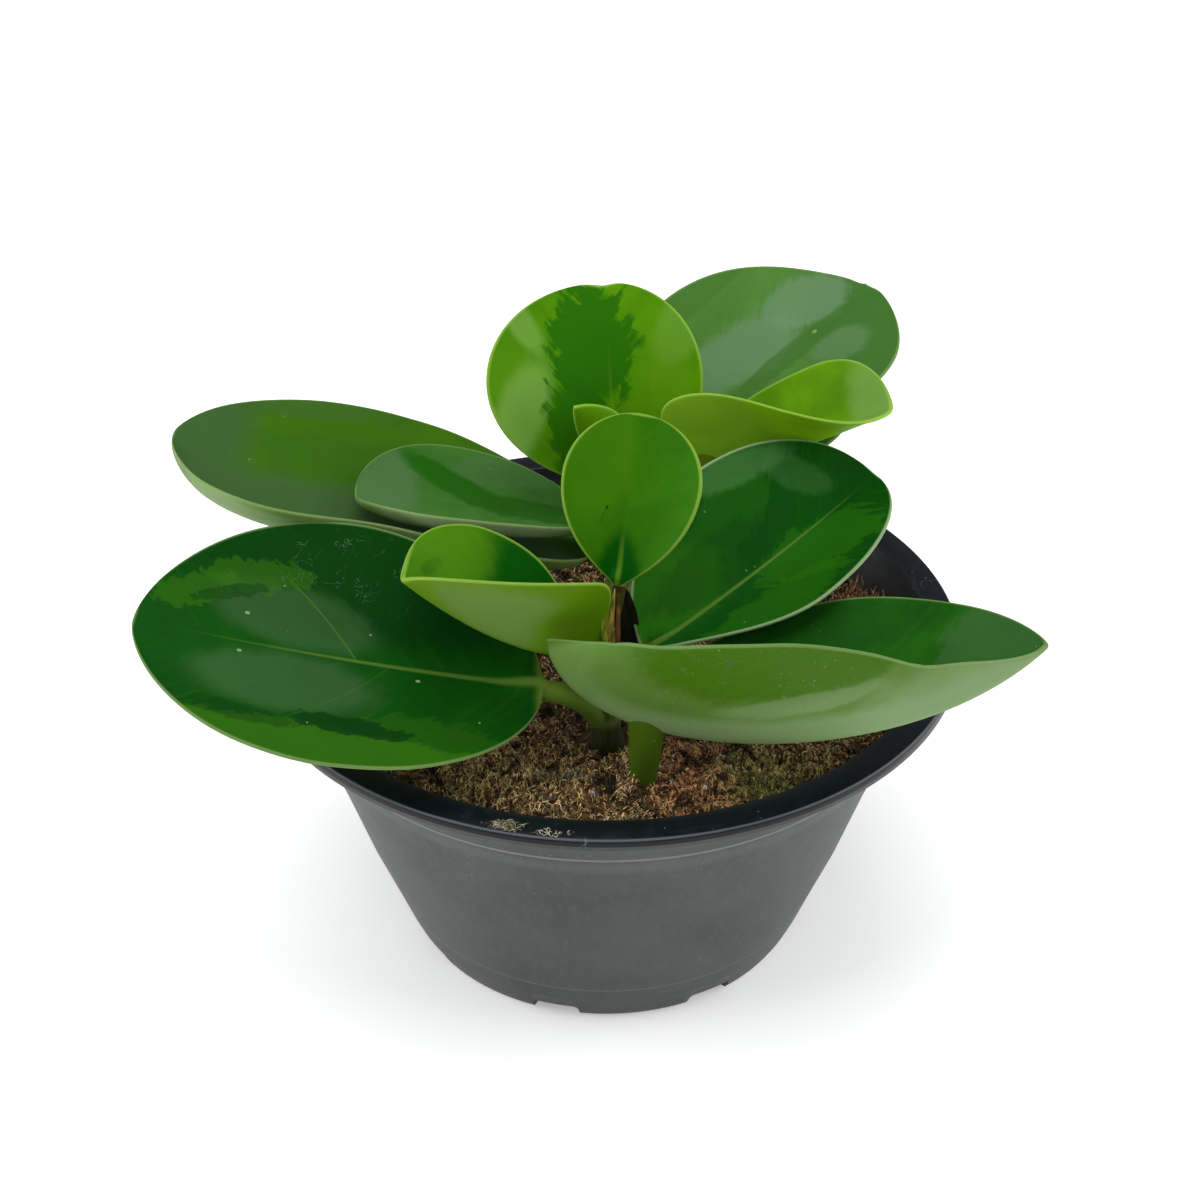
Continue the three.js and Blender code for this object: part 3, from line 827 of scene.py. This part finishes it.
def ribLine(leaf):  # the midrib as a bezier: four points, or an arc through base, middle and tip
    rib = [Vector(point) for point in leaf["rib"]]
    return rib if len(rib) == 4 else [rib[0], 2 * rib[1] - (rib[0] + rib[2]) / 2, rib[2]]


def ribLength(leaf):
    stops = [bezier(ribLine(leaf), i / 20)[0] for i in range(21)]
    return sum((b - a).length for a, b in zip(stops, stops[1:]))


# The blade's frame at a share of its midrib: point, way along, way to the right, way up
def ribFrame(leaf, s):
    line = ribLine(leaf)
    point, along = bezier(line, s)
    level = (line[-1] - line[0]).cross(Vector((0, 0, 1))).normalized()
    level = (level - along * level.dot(along)).normalized()
    right = Quaternion(along, -radians(blend(*leaf["roll"], s * s))) @ level
    return point, along, right, right.cross(along)


def halfWidth(leaf, side, s):
    widest = ofSide(leaf["widest"], side)
    atBase = s < widest
    away = 1 - s / widest if atBase else (s - widest) / (1 - widest)
    power = ofSide(leaf["point" if atBase else "blunt"], side)
    width = ofSide(leaf["half"], side) * max(1 - away * away, 0) ** power
    for way, at, long, deep in leaf["dents"]:
        width *= 1 - deep * exp(-(((s - at) / long) ** 2)) * (way == side)
    return width


# The middle of the blade's thickness, so far from the midrib, and the way up from it there
def layer(leaf, s, side, away, full):
    point, along, right, up = ribFrame(leaf, s)
    fold = radians(blend(*leaf["fold"], s * s))
    curl = radians(ofSide(leaf["cup"], side))
    across = lift = 0
    for i in range(leafForm["curlSteps"]):
        slope = fold + curl * (away / full * (i + 0.5) / leafForm["curlSteps"]) ** 3
        across += away * cos(slope) / leafForm["curlSteps"]
        lift += away * sin(slope) / leafForm["curlSteps"]
    steep = tan(fold + curl * (away / full) ** 3)
    rise, reach = leafForm["soften"]
    rise = min(rise, reach * tan(fold))
    fall = exp(-across * tan(fold) / rise) if rise > 0.01 else 0
    slope = atan(steep - tan(fold) * fall)
    lobe = ofSide(leaf["lobe"], side) * away / full * (1 - s) ** 2
    lobe *= halfWidth(leaf, side, s) / ofSide(leaf["half"], side)
    cleft = leaf["cleft"] * exp(-((across / leafForm["cleftWidth"]) ** 2))
    cleft *= smooth(s, leafForm["cleftStart"], 1)
    place = point + right * side * across + up * (lift + rise * fall) - along * (lobe + cleft)
    ripple = noise.noise(place / leafForm["rippleSize"]) * smooth(away, 0, 6)
    place += up * leafForm["ripple"] * ripple
    return place, up * cos(slope) - right * side * sin(slope)


# A corner of the blade's skin: s along the midrib, q from -1 to 1 across, face 1 above or -1 below
def bladeCorner(leaf, s, q, face):
    side, part = (-1 if q < 0 else 1), abs(q)
    length = leaf["length"]
    stalk = leaf["stalk"]
    seat = leaf["seat"]
    keel = stalk * max(0, 1 - s / leafForm["keelRun"]) ** leafForm["keelPower"]
    crown = 0 if seat else stalk * (1 - smooth(s, 0, leafForm["topRun"]))
    core = 0 if seat else max(crown, keel)
    width = halfWidth(leaf, side, s)
    full = max(hypot(width, core), 0.01)
    low, high = leafForm["flatten"]
    flat = smooth(width, low * core, high * core) if core else 1
    rim = min(0.5, 1 / full)
    inner = leafForm["inner"]
    if part < inner:
        even = (part / inner) ** leafForm["innerPower"] * (1 - rim)
    else:
        even = 1 - rim * ((1 - part) / (1 - inner)) ** 2
    share = blend(sin(pi / 2 * part), even, flat)
    away = full * share
    inset = min(full - away, (1 - s) * length)
    if seat:
        inset = min(inset, s * length)
    thick = blend(leafForm["thickness"], leafForm["margin"], share * share) / 2
    skin = thick * sqrt(1 - (1 - min(1, inset / thick)) ** 2) * flat
    profile = cos(pi / 2 * min(1, away / (leafForm["ridge"] * stalk))) ** 2
    profile = blend(sqrt(max(0, 1 - share * share)), profile, flat)
    skin += (crown if face > 0 else keel) * profile * (0 if seat else 1)
    if face > 0:
        deep, wide = leafForm["groove"]
        skin -= deep * exp(-((away / wide) ** 2)) * smooth(s, *leafForm["grooveStart"]) * (1 - s)
    place, outward = layer(leaf, s, side, away, full)
    facing = 0.5 + 0.5 * face * min(1, inset / leafForm["rounded"])
    return place + outward * face * skin, s * length, side * away, inset, facing


def stalkLine(leaf):
    start = Vector(leaf["from"])
    seat = leaf["seat"]
    end, along = ribFrame(leaf, seat)[:2]
    arrival = along.lerp(Vector((0, 0, 1)), min(1, 6 * seat)).normalized()
    return [start, end - arrival * (end - start).length / 2, end]


# A corner of the stalk's skin. A seated stalk spreads onto the underside of the blade.
def stalkCorner(leaf, u, turn):
    point, forward = bezier(stalkLine(leaf), u)
    seat = leaf["seat"]
    right = ribFrame(leaf, seat)[2]
    right = (right - forward * right.dot(forward)).normalized()
    up = right.cross(forward)
    radius = leaf["stalk"]
    depth, size = leafForm["knobs"]
    radius *= 1 + depth * noise.noise(point / size)
    if seat:
        radius *= 1 + stemForm["flare"] * smooth(u, 0.5, 1)
    corner = point + radius * (right * sin(turn) + up * cos(turn))
    if seat:
        side = -1 if sin(turn) < 0 else 1
        spread = leafForm["seatSpread"] * radius
        at = seat - spread * cos(turn) / leaf["length"]
        seatPoint = layer(leaf, at, side, spread * abs(sin(turn)), halfWidth(leaf, side, at))[0]
        corner = corner.lerp(seatPoint, smooth(u, leafForm["seatStart"], 1))
    along = (u - 1.02) * leafForm["stalkRun"]
    return corner, along, 0, leafForm["offBlade"], 0.5 + 0.5 * cos(turn)


def leafCorner(leaf, u, v):
    face, q = (1, 4 * v - 1) if v <= 0.5 else (-1, 3 - 4 * v)
    seat = leaf["seat"]
    stalkRows = 0 if seat else leafForm["stalkRows"]
    stalkPart = stalkRows / (stalkRows + leafForm["bladeRows"])
    if u < tiny and not seat:
        return Vector(leaf["from"]), -leafForm["stalkRun"], 0, leafForm["offBlade"], 0.5
    if u < stalkPart - tiny:
        return stalkCorner(leaf, u / stalkPart, q * pi / 2 if face > 0 else pi - q * pi / 2)
    s = (1 - cos(pi * min(1, (u - stalkPart) / (1 - stalkPart)))) / 2
    return bladeCorner(leaf, min(1, max(0, s)), q, face)


marks = ["along", "across", "inset", "facing"]


def leafMesh(leaf):
    bm = bmesh.new()
    rows = leafForm["bladeRows"] + (0 if leaf["seat"] else leafForm["stalkRows"])
    wrap(bm, rows, 4 * leafForm["columns"], lambda u, v: leafCorner(leaf, u, v), marks)
    if leaf["seat"]:
        rows, columns = leafForm["seatedRows"], leafForm["seatedColumns"]
        wrap(bm, rows, columns, lambda u, v: stalkCorner(leaf, u, 2 * pi * v), marks)
        bmesh.ops.holes_fill(bm, edges=[e for e in bm.edges if e.is_boundary])
    return bm


# Screen colours of each tone, and what each leaf has of its own. A patch is: colour, middle along
# and across, half length, half width, lean, strength and how ragged it is. A speck is a colour, a
# spot and a size, and a vein is where it leaves the midrib, its side and strength. A spine is how
# strongly the midrib shows, from where to where it fades, and how much wider its root is.
# Each tone's pale grey-green sheen colour, and every patch and speck of it, is painted sheen that
# stands in for reflections of the lamps.
looks = {
    "old_leaf": {
        "top": (8, 66, 5), "deep": (3, 46, 7), "light": (44, 94, 8), "paintedSheen": (60, 92, 54),
        "under": (94, 124, 62), "fresh": (60, 98, 6), "pale": (124, 146, 102),
        "rib": (86, 116, 42), "edge": (116, 140, 84), "stalk": (62, 84, 14),
    },
    "young_leaf": {
        "top": (62, 114, 4), "deep": (3, 68, 2), "light": (92, 140, 14), "paintedSheen": (110, 152, 62),
        "under": (96, 134, 30), "fresh": (96, 138, 8), "pale": (112, 142, 72),
        "rib": (110, 150, 40), "edge": (136, 170, 66), "stalk": (88, 112, 22),
    },
}
usualPaint = {
    "colours": {}, "spine": (0, 0.5, 0.9, 0), "above": [], "below": [], "veins": [], "specks": [],
    "edging": 0.65,
}
# The sheen patches in these lists are painted sheen, placed where the lamps' reflections fall.
paint = {
    "leaf_front_left": {
        "colours": {"stalk": (94, 120, 40)}, "spine": (0.62, 0.45, 0.95, 1.5),
        "above": [
            ("deep", 36, 19.5, 46, 15, -5, 0.95, 0.8), ("paintedSheen", 57, 8, 18, 7, 8, 0.45, 1),
            ("paintedSheen", 56, -9, 19, 8, 0, 0.5, 0.8), ("light", 79, 10, 8, 4, -20, 0.5, 3.4),
            ("light", 66, 16, 11, 3.6, -6, 0.5, 3.8), ("deep", 72, 11, 9, 1.6, -20, 0.6, 3),
            ("light", 46, -26, 38, 6.5, 3, 0.8, 2.2), ("light", 24, -20, 16, 7, 8, 0.3, 2.6),
            ("deep", 42, -18.5, 13, 2.6, 4, 0.9, 3), ("deep", 66, -19, 12, 2.5, 8, 0.5, 3),
        ],
        "veins": [(42.3, 1, 0.4), (35, -1, 0.12)], "scratches": (46, 21, 20, 9),
        "dots": (0.6, 4.2),
        "specks": [("pale", 66.9, 7.1, 0.5), ("pale", 66.9, -2.6, 0.5), ("pale", 28.6, -2.9, 0.5)],
    },
    "leaf_back_left": {
        "colours": {
            "top": (56, 100, 5), "deep": (40, 80, 22), "paintedSheen": (58, 88, 46),
            "pale": (118, 140, 94),
        },
        "above": [
            ("paintedSheen", 62, -24, 54, 19, -3, 0.9, 1.1), ("paintedSheen", 99, 2, 17, 24, 10, 0.85, 0.5),
            ("deep", 24, -6, 26, 18, 0, 0.75, 1.2), ("paintedSheen", 78, 21, 26, 5, -14, 0.4, 1.2),
            ("light", 62, 4, 22, 5, 8, 0.3, 2.6),
        ],
        "below": [("pale", 75, -30, 40, 9, 0, 0.8, 0.4)], "dots": (0.4, 4.6),
    },
    "leaf_mid_left": {
        "colours": {
            "top": (60, 108, 40), "deep": (32, 84, 6), "paintedSheen": (74, 106, 62),
            "light": (26, 86, 3),
        },
        "above": [
            ("paintedSheen", 47, 5, 9, 16, 0, 0.8, 1.2), ("paintedSheen", 16, 15, 14, 6, -10, 0.45, 1.2),
            ("light", 29, 8, 17, 4.2, 38, 0.95, 1.3), ("deep", 12, 0.5, 15, 4.2, 8, 0.9, 1.4),
        ],
        "below": [("pale", 30, -18, 30, 7, 0, 0.9, 0.3)], "dots": (0.3, 4.6),
    },
    "leaf_young_left": {
        "above": [
            ("deep", 16, 17, 19, 15, 0, 1, 0.5), ("deep", 43, 8.6, 1.3, 3, 20, 0.6, 1.6),
            ("light", 40, 14, 8, 8, 0, 0.3, 1.2),
        ],
        "below": [("pale", 26, -9, 17, 8, 0, 0.75, 0.8), ("fresh", 8, -12, 13, 14, 0, 0.9, 0.8)],
    },
    "leaf_young_centre": {
        "colours": {"top": (48, 100, 3), "light": (64, 114, 8), "stalk": (58, 56, 22)},
        "spine": (0.35, 0.12, 0.4, 0),
        "above": [
            ("light", 28, -8, 14, 8, 0, 0.4, 0.8), ("deep", 2, 0, 9.5, 4.8, 0, 1, 0.9),
            ("deep", 14.5, -4.9, 1.8, 0.22, 20, 0.35, 0.6),
        ],
        "specks": [("soil", 16.4, -4.3, 0.4)],
    },
    "leaf_right": {
        "colours": {
            "top": (4, 64, 3), "light": (34, 94, 5), "paintedSheen": (60, 106, 50),
            "edge": (132, 158, 112),
        },
        "spine": (0.7, 0.6, 1, 0.3),
        "above": [
            ("light", 6, -12, 22, 10, 20, 0.95, 1.2), ("light", 47, 6, 16, 7, 10, 0.55, 3),
            ("light", 24, 12, 22, 6, 4, 0.5, 2.4), ("light", 34, -14, 16, 6, -10, 0.3, 2.4),
            ("deep", 26, -7, 18, 6, 0, 0.4, 1.8), ("paintedSheen", 43, -21.5, 15, 3.6, 13, 0.65, 1),
            ("paintedSheen", 55, -12, 9, 4, 55, 0.3, 1.2),
        ],
        "dots": (0.4, 4.6), "edging": 0.85,
    },
    "leaf_front_right": {
        "colours": {"top": (30, 88, 8)},
        "above": [("deep", 60, -26, 50, 8, 0, 0.5, 1.4), ("paintedSheen", 112, -8, 12, 12, 0, 0.5, 2)],
        "below": [
            ("fresh", 70, 29, 38, 11, 4, 1, 0.9), ("fresh", 36, 20, 28, 12, 0, 0.4, 0.8),
            ("pale", 80, 3, 54, 8, 0, 0.62, 0.4), ("pale", 108, 5, 24, 13, 0, 0.5, 0.8),
            ("pale", 76, 17, 18, 3.5, 10, 0.4, 1.4),
        ],
        "scratches": (62, 22, 34, 16), "dots": (0.7, 2.8),
        "specks": [("paintedSheen", 60.7, 32.1, 0.9), ("paintedSheen", 73.4, 33.4, 0.9)],
    },
    "leaf_back_round": {
        "colours": {"top": (80, 134, 4), "deep": (34, 96, 3), "paintedSheen": (120, 162, 72)},
        "spine": (0.2, 0.4, 0.8, 0),
        "above": [
            ("paintedSheen", 20, -22, 12, 6, 30, 0.65, 0.6), ("paintedSheen", 40, -21, 9, 3, -36, 0.5, 0.5),
            ("paintedSheen", 36, 17, 8, 5, 30, 0.3, 0.6), ("deep", 33, -4.5, 15, 10.5, 0, 0.95, 2.4),
            ("deep", 14, -7, 14, 8.5, -20, 0.9, 2), ("light", 26, 14, 12, 5, 0, 0.4, 1),
        ],
    },
    "leaf_back_right": {
        "colours": {"top": (76, 118, 50), "deep": (56, 96, 38), "paintedSheen": (98, 126, 92)},
        "spine": (0.12, 0.5, 0.9, 0),
        "above": [
            ("deep", 50, 12, 17, 20, 0, 0.9, 1.2), ("paintedSheen", 25, -7, 14, 8, 14, 0.7, 1.5),
            ("paintedSheen", 43, -6, 10, 7, 20, 0.7, 1.6), ("paintedSheen", 40, 9, 7, 4.5, 20, 0.4, 1.4),
            ("deep", 34, 2.2, 26, 2.6, 4, 0.7, 1.6), ("deep", 34, -26, 18, 4, 0, 0.5, 1.8),
        ],
        "scratches": (38, -4, 6, 4), "specks": [("edge", 38.5, 1.7, 0.6)],
    },
    "leaf_young_right": {
        # Its under colour is partly the leaf's own lime and partly painted light, brighter to
        # stand in for light shining through the young leaf.
        "colours": {"top": (94, 142, 3), "under": (132, 190, 10), "paintedSheen": (114, 150, 74)},
        "above": [("paintedSheen", 51, -3, 8, 13, 0, 0.65, 1)],
        "below": [("pale", 8, 14, 20, 18, 0, 0.2, 0.3)],
        "specks": [("edge", 15.6, 15.1, 0.5)],
    },
    "leaf_bud": {"colours": {"top": (72, 120, 5), "under": (92, 148, 8), "stalk": (84, 120, 16)}},
}


# What all the leaves share: sizes of the grain in mm, how the side veins slant and bend, the
# midrib's half width and how far its root reaches, and the fine marks
leafGrain = {
    "feather": 2.6, "cloud": 15, "blots": 4.5, "fine": 0.9, "slant": 0.75, "bend": 0.017,
    "spine": (1.3, 1.1), "root": 0.18, "edge": (0.2, 0.8), "soil": (40, 30, 20),
    "dots": (150, 172, 150), "scratches": (120, 150, 124), "tint": (0.2, 0.9, 0.16, 1),
}


def patch(flat, ragged, along, across, long, wide, lean, rough):
    near = flat.node("ShaderNodeMapping", {"vector_type": "TEXTURE"}, {
        "Vector": flat, "Location": (along, across, 0), "Rotation": (0, 0, radians(lean)),
        "Scale": (long, wide, 1),
    })
    soft = max(0.1, 0.36 - 0.11 * rough)
    return fade(lengthOf(near) + rough * (ragged - 0.5), 1 - soft, 1 + soft)


def leafFinish(name, leaf):
    material, shader, where = newFinish(name + "Finish")
    own, common = {**usualPaint, **paint[name]}, leafGrain
    look = tones({**looks[leaf["tone"]], "soil": common["soil"], **own["colours"]})
    along, across, inset, facing = (mark(where, part) for part in marks)
    share = along / leaf["length"]
    seed = 40.0 * list(paint).index(name)
    flat = vector(along, across, 0.0)
    side = abs(across)
    vein = along - side * common["slant"] - side * side * common["bend"]
    feather = grain(vector(vein, across * 0.1, seed), common["feather"], 3, 0.6)
    cloud = grain(vector(along, across, seed), common["cloud"], 3, 0.55, 0.4)
    blots = grain(vector(along, across, seed + 20), common["blots"], 4, 0.6, 0.8)
    ragged = feather * 0.4 + cloud * 0.25 + blots * 0.35

    def layers(colour, patches):
        for key, *place, strength, rough in patches:
            colour = mixed(patch(flat, ragged, *place, rough) * strength, colour, look[key])
        return colour

    top = mixed(ease(cloud, 0.3, 0.7) * 0.4, look["top"], look["deep"])
    top = mixed(ease(feather, 0.5, 0.75) * 0.16, top, look["light"])
    top = layers(top, own["above"])
    strength, bright, end, root = own["spine"]
    wide, narrower = common["spine"]
    half = wide - narrower * share + root * fade(share, 0, common["root"])
    spine = fade(side / half, 0.2, 0.8) * fade(share, bright, end)
    top = mixed(spine * strength, top, look["rib"])
    for at, way, strength in own["veins"]:
        line = fade(abs(vein - at), 0.1, 0.45) * ease(across * way, 0, 1) * fade(side, 10, 20)
        top = mixed(line * strength, top, look["rib"])
    below = mixed(ease(cloud, 0.3, 0.7) * 0.3, look["under"], look["fresh"])
    below = layers(below, own["below"])
    colour = mixed(ease(facing, 0.35, 0.65), below, top)
    colour = mixed(fade(share, -0.01, 0.035), colour, look["stalk"])
    colour = mixed(fade(inset, *common["edge"]) * own["edging"], colour, look["edge"])
    for key, x, y, size in own["specks"]:
        colour = mixed(patch(flat, ragged, x, y, size, size * 0.7, 0, 0.4), colour, look[key])
    if "dots" in own:
        strength, spacing = own["dots"]
        dots = fade(cells(where, spacing), 0.04, 0.08) * ease(grain(where, 8), 0.5, 0.6)
        colour = mixed(dots * strength, colour, tone(*common["dots"]))
    if "scratches" in own:
        hairs = fade(abs(grain(flat, 3.0, 1, 0.5, 1.2) - 0.5), 0.003, 0.012)
        line = hairs * ease(grain(flat, 5), 0.5, 0.58)
        line = line * patch(flat, ragged, *own["scratches"], 0, 0.8)
        colour = mixed(line * 0.28, colour, tone(*common["scratches"]))
    rough = 0.32 + 0.22 * cloud + 0.1 * blots + 0.08 * (1 - facing)
    fine = grain(where, common["fine"], 2)
    bumps = fine * 0.2 + feather * 0.3 + blots * 0.2 - spine * 0.7
    feed(shader, {
        "Base Color": colour, "Roughness": rough, "Normal": relief(bumps, 0.2, 0.6),
        "Specular IOR Level": 0.15, "Specular Tint": common["tint"],
    })
    return material


for name, own in leaves.items():
    leaf = {**usualLeaf, **own}
    leaf["length"] = ribLength(leaf)
    finishPiece(name + "_skin", leafMesh(leaf), leafFinish(name, leaf), name)


print("floor")
stand = {"size": 4, "drop": 0.2, "colour": (0.9, 0.9, 0.9, 1), "glow": 0.3}
bm = bmesh.new()
bmesh.ops.create_grid(bm, x_segments=1, y_segments=1, size=stand["size"])
floorFinish, floorShader, _ = newFinish("paleFloor")
feed(floorShader, {
    "Base Color": stand["colour"], "Roughness": 0.9, "Specular IOR Level": 0.1,
    "Emission Color": (1, 1, 1, 1), "Emission Strength": stand["glow"],
})
floor = addObject("floor", meshFrom("floor", bm))
floor.data.materials.append(floorFinish)
floor.location.z = -stand["drop"] * mm

print("done")
